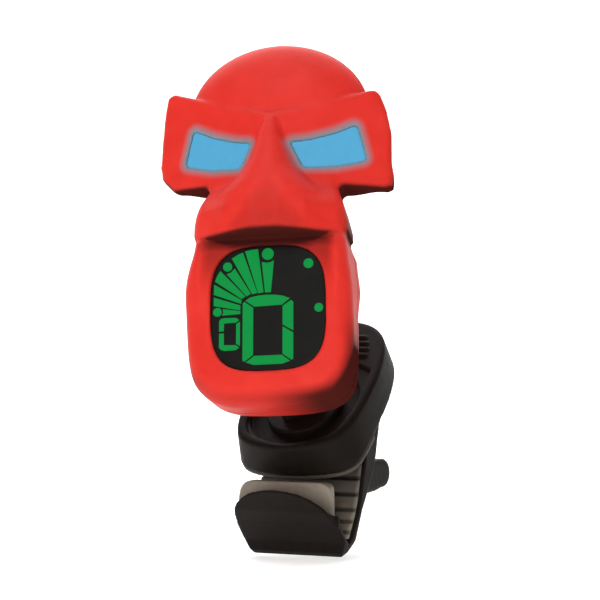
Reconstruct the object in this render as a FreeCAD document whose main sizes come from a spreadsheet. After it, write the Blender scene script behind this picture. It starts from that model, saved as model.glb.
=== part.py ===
import FreeCAD, Part
import math, os
from FreeCAD import Vector, Placement, Rotation, Matrix

# Clip-on tuner with a skull-shaped head on a sprung clip.
# Frame: origin at the meeting point of the two jaws, X along the clip hinge,
# -Y out of the mouth of the clip, Z up.  Millimetres.

doc = FreeCAD.newDocument("tuner")
sheet = doc.addObject("Spreadsheet::Sheet", "dims")
DIMS = {
    "wall": 1.7, "split_w": -9.0, "chin_back": 14.5, "chin_bottom": 18.2,
    "window_w": 21.8, "window_h": 23.4, "window_t": 1.0,
    "lcd_w": 22.9, "lcd_h": 24.4, "lcd_t": 1.8,
    "diffuser_w": 21.6, "diffuser_h": 20.0, "diffuser_t": 0.9,
    "board_w": 22.2, "board_h": 24.0, "board_t": 1.0,
    "strip_w": 19.2, "strip_h": 1.6, "strip_t": 3.75,
    "lens_t": 1.3, "led_w": 2.0, "led_h": 3.0, "led_t": 0.8,
    "eye_board_w": 22.0, "eye_board_h": 7.0,
    "cell_d": 20.0, "cell_t": 3.2, "cap_d": 23.6, "cap_t": 1.5, "tub_d": 27.4,
    "jaw_depth": 7.6, "recess_d": 22.6, "recess_t": 2.2,
    "hub_d": 15.6, "hub_t": 1.6, "hub_spigot_d": 6.0, "hub_gap": 0.1,
    "washer_d": 8.4, "washer_t": 0.5, "screw_head_d": 4.4, "screw_head_t": 1.3, "screw_d": 1.9,
    "pivot_n": 9.5, "tilt_pin_d": 2.0, "tilt_pin_l": 8.6,
    "neck_d": 7.4, "neck_flange_d": 11.6, "neck_flange_t": 1.2,
    "clip_half": 11.2, "hinge_pin_d": 2.4, "hinge_pin_l": 22.4, "knuckle_d": 6.0,
    "pad_half": 10.5, "button_h": 7.0, "button_w": 4.0, "button_t": 3.0,
    "piezo_d": 9.0, "piezo_t": 0.5, "shell_screw_d": 1.6,
}
for i, (k, v) in enumerate(DIMS.items(), 1):
    sheet.set("A%d" % i, k)
    sheet.set("B%d" % i, str(v))
    sheet.setAlias("B%d" % i, k)
doc.recompute()


def D(name):
    return float(getattr(sheet, name))


# ---------------------------------------------------------------- frames
T_CLIP = 41.0
JF = Vector(0, -3.0, 6.8)
L = Vector(0, math.cos(math.radians(T_CLIP)), math.sin(math.radians(T_CLIP)))
N = Vector(0, -L.z, L.y)
LP = 13.0
P = JF + L * LP + N * D("pivot_n")
F = Vector(0.26857, -0.93662, 0.22495).normalize()
HU = Vector(-0.10784, 0.20283, 0.97326)
HU = (HU - F * HU.dot(F)).normalize()
HR = HU.cross(F)
V0, W0 = -7.592, -18.150
HO = P - HU * V0 - F * W0
TA = N.cross(F).normalize()
HY, HZ = 15.35, 11.5


def frame(o, x, y, z):
    m = Matrix(x.x, y.x, z.x, o.x, x.y, y.y, z.y, o.y, x.z, y.z, z.z, o.z, 0, 0, 0, 1)
    return Placement(m)


ROW = Placement()
JAW = frame(JF, Vector(1, 0, 0), L, N)
HEAD = frame(HO, HR, HU, F)
HUB = frame(JF + L * LP, TA, N.cross(TA), N)
NECK = frame(P, TA, F.cross(TA), F)
SIDE = frame(Vector(0, 0, 0), Vector(0, 1, 0), Vector(0, 0, 1), Vector(1, 0, 0))

NODES = []


def keep(obj, label):
    obj.Label = label
    NODES.append(obj)
    return obj


# ---------------------------------------------------------------- helpers
def origin_plane(body, role):
    for o in body.Origin.OriginFeatures:
        if o.Role == role:
            return o


def sketch(body, name, z=0.0):
    s = body.newObject("Sketcher::SketchObject", name)
    s.AttachmentSupport = [(origin_plane(body, "XY_Plane"), "")]
    s.MapMode = "FlatFace"
    s.AttachmentOffset = Placement(Vector(0, 0, z), Rotation())
    return s


def closed_lines(s, pts):
    import Sketcher
    n = len(pts)
    for i in range(n):
        a, b = pts[i], pts[(i + 1) % n]
        s.addGeometry(Part.LineSegment(Vector(a[0], a[1], 0), Vector(b[0], b[1], 0)), False)
    for i in range(n):
        s.addConstraint(Sketcher.Constraint("Coincident", i, 2, (i + 1) % n, 1))


def rect_on(s, w, h, cx=0.0, cy=0.0):
    import Sketcher
    W, H = D(w), D(h)
    closed_lines(s, [(cx - W / 2, cy - H / 2), (cx + W / 2, cy - H / 2), (cx + W / 2, cy + H / 2), (cx - W / 2, cy + H / 2)])
    for g, k in ((0, "Horizontal"), (1, "Vertical"), (2, "Horizontal"), (3, "Vertical")):
        s.addConstraint(Sketcher.Constraint(k, g))
    a = s.addConstraint(Sketcher.Constraint("DistanceX", 0, 1, 0, 2, W))
    b = s.addConstraint(Sketcher.Constraint("DistanceY", 1, 1, 1, 2, H))
    c = s.addConstraint(Sketcher.Constraint("DistanceX", -1, 1, 0, 1, cx - W / 2))
    d = s.addConstraint(Sketcher.Constraint("DistanceY", -1, 1, 0, 1, cy - H / 2))
    s.setExpression("Constraints[%d]" % a, "dims.%s" % w)
    s.setExpression("Constraints[%d]" % b, "dims.%s" % h)
    s.setExpression("Constraints[%d]" % c, "%.4f - dims.%s / 2" % (cx, w))
    s.setExpression("Constraints[%d]" % d, "%.4f - dims.%s / 2" % (cy, h))


def circle_on(s, dia, cx=0.0, cy=0.0, grow=0.0):
    import Sketcher
    g = s.addGeometry(Part.Circle(Vector(cx, cy, 0), Vector(0, 0, 1), D(dia) / 2 + grow), False)
    r = s.addConstraint(Sketcher.Constraint("Radius", g, D(dia) / 2 + grow))
    s.addConstraint(Sketcher.Constraint("DistanceX", -1, 1, g, 3, cx))
    s.addConstraint(Sketcher.Constraint("DistanceY", -1, 1, g, 3, cy))
    s.setExpression("Constraints[%d]" % r, "dims.%s / 2 + %.4f" % (dia, grow))


def pad(body, s, length, rev=False, mid=False):
    p = body.newObject("PartDesign::Pad", s.Name + "_pad")
    p.Profile = s
    if isinstance(length, str):
        p.Length = 1.0
        p.setExpression("Length", length)
    else:
        p.Length = length
    p.Reversed = rev
    if mid:
        p.SideType = "Symmetric"
    s.Visibility = False
    return p


def new_body(label, plc):
    b = doc.addObject("PartDesign::Body", "B_" + label)
    b.Placement = plc
    return keep(b, label)


def pad_body(label, plc, z, draw, length, mid=False):
    b = new_body(label, plc)
    s = sketch(b, "S_" + label, z)
    draw(s)
    pad(b, s, length, mid=mid)
    return b


def solid(label, shape, plc):
    """Sub-part whose form is a blend of curved sections."""
    o = doc.addObject("Part::Feature", "F_" + label)
    shape = shape.removeSplitter() if shape.ShapeType != "Solid" else shape
    if shape.ShapeType != "Solid" and len(shape.Solids) == 1:
        shape = shape.Solids[0]
    o.Shape = shape
    o.Placement = plc
    return keep(o, label)


def poly(pts, z=0.0):
    v = [Vector(p[0], p[1], z) for p in pts]
    return Part.Face(Part.makePolygon(v + [v[0]]))


def prism(pts, z0, z1):
    return poly(pts, z0).extrude(Vector(0, 0, z1 - z0))


def smooth(pts, z=0.0):
    c = Part.BSplineCurve()
    c.interpolate(Points=[Vector(p[0], p[1], z) for p in pts], PeriodicFlag=True)
    return Part.Wire(c.toShape())


def sprism(pts, z0, z1):
    return Part.Face(smooth(pts, z0)).extrude(Vector(0, 0, z1 - z0))


def cyl(r, z0, z1, x=0.0, y=0.0):
    return Part.makeCylinder(r, z1 - z0, Vector(x, y, z0))


def box(x0, x1, y0, y1, z0, z1):
    return Part.makeBox(x1 - x0, y1 - y0, z1 - z0, Vector(x0, y0, z0))


def superellipse(a, b, n, k=32, cx=0.0, cy=0.0):
    out = []
    for i in range(k):
        t = 2 * math.pi * i / k
        c, s = math.cos(t), math.sin(t)
        out.append((cx + a * math.copysign(abs(c) ** (2.0 / n), c), cy + b * math.copysign(abs(s) ** (2.0 / n), s)))
    return out


def fillet(shape, r, pick):
    e = [x for x in shape.Edges if pick(x)]
    try:
        out = shape.makeFillet(r, e)
        return out if out.isValid() and out.Volume > 0 else shape
    except Exception:
        return shape


# ---------------------------------------------------------------- skull hull
def chin_outline(inset, back=0.0):
    """Front outline of the jaw block, half-width against height."""
    tab = [(-18.3, 3.6), (-17.8, 8.7), (-16.3, 12.4), (-13.4, 14.9), (-9.0, 16.2), (-4.0, 16.6), (2.5, 16.55), (6.0, 16.2),
           (9.0, 15.4), (12.0, 14.5), (15.0, 14.3), (19.0, 14.2), (23.5, 13.4), (28.0, 13.1)]
    pts = [(max(w - inset, 0.8), v) for v, w in tab]
    pts = [(w, v + inset * max(0.0, min(1.0, (-8.0 - v) / 8.0))) for w, v in pts]
    pts[-1] = (pts[-1][0], 28.0 - inset * 0.5)
    return pts + [(-w, v) for w, v in reversed(pts)]


def chin_solid(d):
    secs = []
    for w, ins in ((-14.5 + d, 2.7), (-13.2, 1.5), (-9.0, 0.85), (-4.0, 0.3), (-1.0, 0.5), (0.9 - d, 2.3)):
        secs.append(smooth(chin_outline(ins + d), w))
    return Part.makeLoft(secs, True, True)


def cheek_solid(d):
    """Upper jaw bone that overhangs the window."""
    rows = ((13.6 + d, 14.4, 5.0), (15.0 + d, 15.2, 6.0), (17.4, 15.1, 5.7), (20.7, 14.2, 4.4), (24.4, 12.9, 1.6), (28.6, 12.4, -2.6))
    secs = []
    for v, hw, wf in rows:
        a = hw - d
        top = wf - d
        base = -7.0
        pts = []
        k = 10
        for i in range(k + 1):
            t = math.pi * i / k
            c, s = math.cos(t), math.sin(t)
            pts.append((a * math.copysign(abs(c) ** 0.8, c), base + (top - base) * abs(s) ** 0.55))
        pts += [(-a * 0.92, -12.0), (0.0, -12.4), (a * 0.92, -12.0)]
        c = Part.makePolygon([Vector(p[0], v, p[1]) for p in pts] + [Vector(pts[0][0], v, pts[0][1])])
        secs.append(c)
    return Part.makeLoft(secs, True, True)


def visor_solid(d):
    """Brow band that carries the eyes; swept back at both ends."""
    front = []
    for i in range(15):
        h = -23.3 + 46.6 * i / 14
        u = abs(h) / 23.3
        front.append((h * (23.3 - d) / 23.3, -1.0 - 7.2 * u ** 1.35 - d))
    plan = front + [(21.9 - d, -13.0 + d), (-21.9 + d, -13.0 + d)]
    plan3 = [Vector(p[0], 60, p[1]) for p in plan]
    band = Part.Face(Part.makePolygon(plan3 + [plan3[0]])).extrude(Vector(0, -60, 0))
    top = []
    for i in range(15):
        h = 20.6 - 41.2 * i / 14
        top.append((h * (21.0 - d) / 21.0, 39.3 + 6.3 * (abs(h) / 20.8) ** 1.25 - d))
    end = [(22.5 - d, 27.0 + d * .5), (23.3 - d, 30.5), (22.9 - d, 36.0), (22.1 - d, 41.5 - d), (21.2 - d, 44.9 - d)]
    face = [(-19.8 + d, 24.8 + d), (19.8 - d, 24.8 + d)] + end + top + [(-x, y) for x, y in end[::-1]]
    face = [(x, y - 0.022 * x) for x, y in face]
    return band.common(prism(face, -20.0, 10.0))


def dome_solid(d):
    s = Part.makeSphere(1.0)
    m = Matrix()
    m.scale(17.9 - d, 14.6 - d, 8.0 - d)
    s = s.transformGeometry(m)
    s.translate(Vector(0, 40.5, -10.2))
    return s.common(box(-30, 30, 0, 80, -18.2 + d, 20))


def nose_solid():
    """Ridge from the brow down to the upper jaw bone."""
    secs = []
    for v, base, crest, w in ((21.5, 7.2, 4.4, 5.2), (27.5, 4.4, 2.4, 3.6), (33.0, 2.5, 1.2, 1.2), (38.6, 0.6, 0.25, -1.1)):
        q = [(-base, -5.0), (base, -5.0), (base, w - 2.2), (crest, w), (-crest, w), (-base, w - 2.2)]
        secs.append(Part.makePolygon([Vector(x, v, z) for x, z in q + q[:1]]))
    return Part.makeLoft(secs, True, True)


def hull(d):
    s = chin_solid(d).fuse(cheek_solid(d)).fuse(visor_solid(d)).fuse(dome_solid(d))
    return s


outer = hull(0.0).fuse(nose_solid())
tub = cyl(D("tub_d") / 2, -18.4, -8.0, 0, 36.4)
outer = outer.fuse(tub)
inner = hull(D("wall"))
half_front = box(-40, 40, -40, 80, D("split_w"), 20)
half_rear = box(-40, 40, -40, 80, -40, D("split_w"))

# eye windows, in the face plane of the brow band
EYE_R = [(16.1, 37.2), (17.9, 30.1), (12.3, 28.6), (6.2, 28.1), (3.75, 33.1), (7.4, 33.65), (12.2, 35.2)]
EYE_L = [(-x, y + 0.022 * x) for x, y in EYE_R]
EYE_R = [(x, y - 0.022 * x) for x, y in EYE_R]


def scaled(pts, d):
    cx = sum(p[0] for p in pts) / len(pts)
    cy = sum(p[1] for p in pts) / len(pts)
    out = []
    for x, y in pts:
        r = math.hypot(x - cx, y - cy)
        k = (r + d) / r
        out.append((cx + (x - cx) * k, cy + (y - cy) * k))
    return out


front = outer.common(half_front).cut(inner)
win = superellipse(D("window_w") / 2, D("window_h") / 2, 5.0)
front = front.cut(sprism(win, -4.0, 12.0).common(box(-20, 20, -14, 13.0, -4, 12)))
for e in (EYE_L, EYE_R):
    front = front.cut(prism(e, -9.5, 10.0))
# power button hole in the left side, near the top of the jaw block
BV, BW = 12.2, -4.6
btn_hole = box(-20, -11, BV - D("button_h") / 2 - .1, BV + D("button_h") / 2 + .1, BW - D("button_w") / 2 - .1, BW + D("button_w") / 2 + .1)
front = front.cut(btn_hole)
# screw pillars between the two shells
PILLARS = [(-12.9, -8.5), (12.9, -8.5), (-9.6, 21.2), (9.6, 21.2)]
for x, y in PILLARS:
    p = cyl(1.7, D("split_w") + .05, -2.95 if y < 0 else 2.6, x, y).common(outer)
    front = front.fuse(p).cut(cyl(D("shell_screw_d") / 2 + .05, D("split_w") - 1, -3.6, x, y))
solids = sorted(front.Solids, key=lambda s: -s.Volume)
print("front solids", [round(q.Volume, 1) for q in solids])
solid("front_shell", solids[0], HEAD)

rear = outer.common(half_rear).cut(inner)
rear = rear.fuse(cyl(D("tub_d") / 2, -12.9, -11.7, 0, 36.4).common(outer))
rear = rear.fuse(cyl(D("tub_d") / 2, -18.4, -11.7, 0, 36.4).cut(cyl(12.0, -19, -12.9, 0, 36.4)).common(outer))
rear = rear.cut(cyl(12.0, -19.0, -12.9, 0, 36.4))
rear = rear.fuse(cyl(4.6, -12.9, -11.9, 0, V0).common(outer))
rear = rear.cut(cyl(D("neck_d") / 2 + .1, -16, -10, 0, V0))
for x, y in PILLARS:
    p = cyl(1.7, -14.0, D("split_w") - .05, x, y).common(outer)
    rear = rear.fuse(p)
    rear = rear.cut(cyl(D("shell_screw_d") / 2 + .15, -16, -8, x, y)).cut(cyl(1.45, -16, -12.4, x, y))
solids = sorted(rear.Solids, key=lambda s: -s.Volume)
print("rear solids", [round(q.Volume, 1) for q in solids])
solid("rear_shell", solids[0], HEAD)

# ---------------------------------------------------------------- eyes
def lens(label, pts):
    s = visor_solid(0.12).cut(visor_solid(D("lens_t") + .12)).common(prism(scaled(pts, -.12), -6, 8))
    s = s.common(box(-40, 40, 0, 60, -8.85, 5))
    solid(label, sorted(s.Solids, key=lambda q: -q.Volume)[0], HEAD)


lens("eye_lens_left", EYE_L)
lens("eye_lens_right", EYE_R)

# ---------------------------------------------------------------- display stack
pad_body("display_window", HEAD, -0.95, lambda s: closed_lines(s, superellipse(D("window_w") / 2 - .12, D("window_h") / 2 - .12, 5.0, 40)), "dims.window_t")
pad_body("lcd_panel", HEAD, -1.0 - D("lcd_t"), lambda s: rect_on(s, "lcd_w", "lcd_h"), "dims.lcd_t")
pad_body("light_diffuser", HEAD, -2.85 - D("diffuser_t"), lambda s: rect_on(s, "diffuser_w", "diffuser_h", 0, -1.0), "dims.diffuser_t")
pad_body("contact_strip", HEAD, -6.65, lambda s: rect_on(s, "strip_w", "strip_h", 0, 11.2), "dims.strip_t")

bb = new_body("main_board", HEAD)
s = sketch(bb, "S_board", -7.7)
rect_on(s, "board_w", "board_h", 0, 0.5)
pad(bb, s, "dims.board_t")

# tuner chip on the front of the board
o = doc.addObject("Part::Box", "chip_body")
o.Length, o.Width, o.Height = 8.0, 8.0, 1.2
o.Placement = HEAD.multiply(Placement(Vector(-4, -6, -6.65), Rotation()))
keep(o, "tuner_chip")

pad_body("piezo_sensor", HEAD, -8.35, lambda s: circle_on(s, "piezo_d", 0, 4.5), "dims.piezo_t")

# eye lights on their own strip of board behind the brow
pad_body("eye_board", HEAD, -8.65, lambda s: rect_on(s, "eye_board_w", "eye_board_h", 0, 31.0), 0.8)
b = new_body("eye_leds", HEAD)
s = sketch(b, "S_leds", -7.8)
import Sketcher
for cx in (-8.6, 8.6):
    n0 = len(s.Geometry)
    w, h = D("led_w"), D("led_h")
    q = [(cx - w / 2, 31 - h / 2), (cx + w / 2, 31 - h / 2), (cx + w / 2, 31 + h / 2), (cx - w / 2, 31 + h / 2)]
    for i in range(4):
        a, c = q[i], q[(i + 1) % 4]
        s.addGeometry(Part.LineSegment(Vector(a[0], a[1], 0), Vector(c[0], c[1], 0)), False)
    for i in range(4):
        s.addConstraint(Sketcher.Constraint("Coincident", n0 + i, 2, n0 + (i + 1) % 4, 1))
pad(b, s, "dims.led_t")

# ---------------------------------------------------------------- battery
pad_body("coin_cell", HEAD, -16.4, lambda s: circle_on(s, "cell_d", 0, 36.4), "dims.cell_t")
o = doc.addObject("Part::Cylinder", "cap_disc")
o.setExpression("Radius", "dims.cap_d / 2")
o.setExpression("Height", "dims.cap_t")
o.Placement = Placement(Vector(0, 36.4, -18.0), Rotation())
slot = doc.addObject("Part::Box", "cap_slot")
slot.Length, slot.Width, slot.Height = 11.0, 1.8, 0.8
slot.Placement = Placement(Vector(-5.5, 35.5, -18.1), Rotation())
cap = doc.addObject("Part::Cut", "battery_cap")
cap.Base, cap.Tool = o, slot
cap.Placement = HEAD
keep(cap, "battery_cap")
spring_leaf = box(-5, 5, 34.9, 37.9, -13.08, -12.94).fuse(box(-5, -3, 34.9, 37.9, -13.17, -13.0)).fuse(box(3, 5, 34.9, 37.9, -13.17, -13.0))
solid("battery_contact_inner", spring_leaf, HEAD)
side_leaf = Part.makeCylinder(11.6, 3.0, Vector(0, 36.4, -16.1)).cut(Part.makeCylinder(11.1, 4.0, Vector(0, 36.4, -16.6))).common(box(-3, 3, 20, 30, -17, -12))
side_leaf = side_leaf.fuse(box(-1, 1, 25.3, 26.35, -15.2, -13.6))
solid("battery_contact_side", side_leaf, HEAD)

# ---------------------------------------------------------------- button
bt = box(-14.6, -11.97, BV - D("button_h") / 2, BV + D("button_h") / 2, BW - D("button_w") / 2, BW + D("button_w") / 2)
bt = fillet(bt, .5, lambda e: e.BoundBox.XMax < -14.3)
bt = bt.fuse(box(-12.0, -11.5, BV - 4.3, BV + 4.3, BW - 1.7, BW + 1.7))
solid("power_button", bt, HEAD)
o = doc.addObject("Part::Box", "switch_body")
o.Length, o.Width, o.Height = 1.1, 3.2, 3.2
o.Placement = HEAD.multiply(Placement(Vector(-10.95, BV - 1.6, BW - 1.6), Rotation()))
keep(o, "power_switch")

# ---------------------------------------------------------------- shell screws
scr = None
for x, y in PILLARS:
    q = cyl(D("shell_screw_d") / 2 - .02, -12.6, -4.0, x, y).fuse(cyl(1.35, -13.3, -12.42, x, y))
    scr = q if scr is None else scr.fuse(q)
o = doc.addObject("Part::Feature", "F_screws")
o.Shape = Part.makeCompound(scr.Solids)
o.Placement = HEAD
keep(o, "shell_screws")

# ---------------------------------------------------------------- neck, hub
kn = Part.makeCylinder(2.9, 4.4, Vector(-2.2, 0, 0), Vector(1, 0, 0))
neck_l0 = -W0 - 14.5
shaft = cyl(D("neck_d") / 2, 3.4, -W0 - 11.75)
web = box(-2.2, 2.2, -2.9, 2.9, 0, 3.6)
flange = cyl(D("neck_flange_d") / 2, -W0 - 11.8, -W0 - 11.8 + D("neck_flange_t"))
nk = kn.fuse(web).fuse(shaft).fuse(flange).cut(Part.makeCylinder(D("tilt_pin_d") / 2 + .02, 10, Vector(-5, 0, 0), Vector(1, 0, 0)))
nk = nk.removeSplitter()
solid("neck", nk, NECK)
ret = cyl(7.4, -10.55, -9.75, 0, V0).cut(cyl(3.0, -12, -9, 0, V0))
ret = ret.fuse(cyl(1.3, -12.76, -9.75, -8.6, V0)).fuse(cyl(1.3, -12.76, -9.75, 8.6, V0)).fuse(box(-8.6, 8.6, V0 - 1.3, V0 + 1.3, -10.55, -9.75)).cut(cyl(3.0, -12, -9, 0, V0))
solid("neck_retainer", ret, HEAD)

pin = doc.addObject("Part::Cylinder", "tilt_pin_body")
pin.setExpression("Radius", "dims.tilt_pin_d / 2")
pin.setExpression("Height", "dims.tilt_pin_l")
pin.Placement = NECK.multiply(Placement(Vector(-D("tilt_pin_l") / 2, 0, 0), Rotation(Vector(0, 1, 0), 90)))
keep(pin, "tilt_pin")

floor_n = -D("recess_t")
fl_t = 1.5
hb = cyl(D("hub_d") / 2, floor_n + .1, floor_n + .1 + D("hub_t"))
hb = fillet(hb, .5, lambda e: abs(e.BoundBox.ZMin - (floor_n + .1 + D("hub_t"))) < 1e-4)
for sx in (-1, 1):
    x0 = 2.35 if sx > 0 else -4.35
    ear = box(x0, x0 + 2.0, -3.2, 3.2, floor_n + .5, D("pivot_n")).fuse(Part.makeCylinder(3.2, 2.0, Vector(x0, 0, D("pivot_n")), Vector(1, 0, 0)))
    hb = hb.fuse(ear)
hb = hb.fuse(box(-4.35, 4.35, -3.2, 3.2, floor_n + .5, 4.6))
hb = hb.fuse(cyl(D("hub_spigot_d") / 2, floor_n - fl_t - .1, floor_n + .5))
hb = hb.cut(Part.makeCylinder(D("tilt_pin_d") / 2 + .01, 12, Vector(-6, 0, D("pivot_n")), Vector(1, 0, 0)))
hb = hb.cut(cyl(D("screw_d") / 2 + .02, floor_n - 3, 2.0))
hb = hb.removeSplitter()
solid("swivel_hub", hb, HUB)
wz = floor_n - fl_t - .1 - D("washer_t")
wb = new_body("hub_washer", HUB)
s = sketch(wb, "S_washer", wz)
circle_on(s, "washer_d")
circle_on(s, "screw_d", grow=.1)
pad(wb, s, "dims.washer_t")
sb = new_body("hub_screw", HUB)
s = sketch(sb, "S_hshank", wz - .01)
circle_on(s, "screw_d")
pad(sb, s, 5.2)
s = sketch(sb, "S_hhead", wz - D("screw_head_t"))
circle_on(s, "screw_head_d")
pad(sb, s, "dims.screw_head_t")

# ---------------------------------------------------------------- upper jaw
RIM = [(0.0, 0.0), (0.3, 2.8), (0.95, 5.9), (2.2, 8.9), (4.2, 11.0), (7.8, 12.6), (12.2, 13.4), (17.5, 13.6), (22.3, 13.4), (27.2, 12.6),
       (30.9, 11.4), (34.0, 9.4), (36.2, 6.4), (37.3, 3.0), (37.5, 0.0)]


LOW = [(0.0, 0.0), (0.25, 4.6), (0.9, 8.4), (2.1, 11.3), (4.2, 13.0), (7.8, 13.6), (12.2, 13.7), (17.5, 13.7), (22.3, 13.4), (27.2, 12.6),
       (30.9, 11.4), (34.0, 9.4), (36.2, 6.4), (37.3, 3.0), (37.5, 0.0)]


def rim(inset, n=0.0):
    """Outline of the upper jaw at depth n; squarer in front towards its lower edge."""
    c = 18.0
    t = min(1.0, max(0.0, -n / 7.6))
    out = []
    for (l0, x0), (l1, x1) in zip(RIM, LOW):
        l, x = l0 + (l1 - l0) * t, x0 + (x1 - x0) * t
        r = math.hypot(l - c, x)
        k = (r - inset) / r
        out.append((x * k, c + (l - c) * k))
    return out + [(-x, l) for x, l in reversed(out[1:-1])]


def jaw_prism(inset, n0, n1):
    return sprism(rim(inset, -4.6), n0, n1)


uj = jaw_prism(0.0, -D("jaw_depth"), 0.0)
uj = fillet(uj, .7, lambda e: abs(e.BoundBox.ZMin) < 1e-4 and abs(e.BoundBox.ZMax) < 1e-4)
uj = uj.cut(cyl(D("recess_d") / 2, floor_n, 3, 0, LP))
# raised thumb ridges
for i in range(4):
    l = 26.8 + 1.75 * i
    w = (9.0, 8.6, 7.9, 6.9)[i]
    uj = uj.fuse(Part.makeCylinder(.75, 2 * w, Vector(-w, l, -.15), Vector(1, 0, 0)))
hol = jaw_prism(1.7, -7.7, floor_n - fl_t)
hol = hol.common(box(-20, 20, 6.6, 40, -9, floor_n - fl_t))
uj = uj.cut(hol)
uj = uj.cut(cyl(D("hub_spigot_d") / 2 + .06, -6, 0, 0, LP))
lh, nh = 17.0, -8.5
for sx in (-1, 1):
    x0 = 4.7 if sx > 0 else -6.9
    lug = box(x0, x0 + 2.2, lh - 3.0, lh + 3.0, nh, floor_n - fl_t + .2).fuse(Part.makeCylinder(3.0, 2.2, Vector(x0, lh, nh), Vector(1, 0, 0)))
    uj = uj.fuse(lug)
H_L, H_N = lh, nh
uj = uj.cut(Part.makeCylinder(D("hinge_pin_d") / 2 + .03, 30, Vector(-15, H_L, H_N), Vector(1, 0, 0)))
uj = uj.removeSplitter()
solid("upper_jaw", uj, JAW)
hp = JAW.multVec(Vector(0, H_L, H_N))
HY, HZ = hp.y, hp.z

ul = Part.Face(smooth(rim(.15, -7.6), -8.65)).extrude(Vector(0, 0, 1.0)).common(box(-20, 20, -2, 12.6, -9, -7.0))
solid("upper_jaw_pad", ul, JAW)

# ---------------------------------------------------------------- lower jaw
hw = D("clip_half")
PROF = [(HY + 2.9, HZ - 1.2), (HY + 2.1, HZ - 3.6), (17.0, 5.4), (15.9, 2.0), (13.4, -2.0), (10.85, -5.6), (8.1, -11.1), (6.4, -13.7), (4.6, -14.5), (3.4, -13.6),
        (3.0, -11.7), (-0.6, -7.7), (-3.1, -5.3), (-5.2, -2.6), (-6.5, -1.0), (-5.7, -0.8), (-3.5, -3.4), (-2.0, -5.1), (-1.0, -6.05), (0.1, -6.15), (0.1, -1.6), (1.2, -1.6),
        (1.2, -7.6), (3.9, -10.8), (5.1, -11.6), (6.0, -10.8), (8.0, -7.6), (9.6, -4.2), (10.8, 0.2), (11.8, 3.6), (HY - 2.9, HZ - 2.4), (HY - 2.9, HZ)]
side = lambda pts, x0, x1: Part.Face(Part.makePolygon([Vector(x0, y, z) for y, z in pts] + [Vector(x0, pts[0][0], pts[0][1])])).extrude(Vector(x1 - x0, 0, 0))
lj = side(PROF, -hw, hw)
# arch of the lip, and narrowing towards the bottom
ARCH = [(0.0, -1.0), (2.2, -1.15), (5.3, -1.75), (7.4, -2.75), (9.1, -4.0), (10.0, -5.1), (10.7, -6.5), (11.2, -8.4)]
arch = [(-x, z) for x, z in ARCH[:0:-1]] + ARCH
cap_z = [(-12.5, 6.0), (-12.5, -8.4)] + arch + [(12.5, -8.4), (12.5, 6.0)]
cap_w = [Vector(x, -12, z) for x, z in cap_z]
lj = lj.cut(Part.Face(Part.makePolygon(cap_w + [cap_w[0]])).extrude(Vector(0, 11.95, 0)))
for sx in (-1, 1):
    w = [Vector(sx * x, -20, z) for x, z in ((11.25, -11.4), (10.7, -12.6), (10.1, -13.8), (9.6, -15.0), (14.0, -15.0), (14.0, -11.4))]
    lj = lj.cut(Part.Face(Part.makePolygon(w + [w[0]])).extrude(Vector(0, 60, 0)))
    # the web that carries the tip pad stops short of the sides
    x0 = 8.6 if sx > 0 else -12.0
    lj = lj.cut(box(x0, x0 + 3.4, -0.06, 1.25, -6.15, -1.0)).cut(box(x0, x0 + 3.4, 0.85, 2.5, -8.5, -1.0))
# middle of the spine top is open for the knuckle of the upper jaw and its spring
lj = lj.cut(box(-7.1, 7.1, 11.0, 22, HZ - 4.6, HZ + 6))
for sx in (-1, 1):
    x0 = 7.1 if sx > 0 else -hw
    lj = lj.fuse(Part.makeCylinder(2.9, hw - 7.1, Vector(x0, HY, HZ), Vector(1, 0, 0)))
TAIL = [(13.0, -2.9), (18.8, -2.5)] + [(22.0 + 2.9 * math.cos(math.radians(t)), 0.9 + 2.9 * math.sin(math.radians(t))) for t in range(-100, 101, 20)] + [(18.5, 3.7), (15.4, 3.9)]
lj = lj.fuse(side(TAIL, -10.5, 10.5))
lj = lj.cut(Part.makeCylinder(D("hinge_pin_d") / 2 + .01, 40, Vector(-20, HY, HZ), Vector(1, 0, 0)))
lj = lj.removeSplitter()
solid("lower_jaw", lj, ROW)

sp = [(5.9, -10.85), (6.3, -10.2), (8.0, -7.5), (9.6, -4.1), (10.75, 0.2), (11.6, 3.6), (12.0, 5.6)]


def at_height(z):
    for (y0, z0), (y1, z1) in zip(sp, sp[1:]):
        if z0 <= z <= z1:
            return y0 + (y1 - y0) * (z - z0) / (z1 - z0)
    return sp[-1][0]


# flat ribs parted by narrow grooves
ribbed = []
edges = [-10.85] + [v for g in (-9.6, -7.6, -5.4, -2.5, 0.6, 3.4) for v in (g - .2, g - .12, g + .12, g + .2)] + [5.6]
for i, z in enumerate(edges):
    off = 0.9 if i % 4 in (2, 3) and 0 < i < len(edges) - 1 else 1.4
    ribbed.append((at_height(z) - .97 * off, z + .24 * off))
pts = [(y - .06, z) for y, z in sp] + ribbed[::-1]
solid("spine_pad", side(pts, -10.8, 10.8), ROW)

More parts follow.
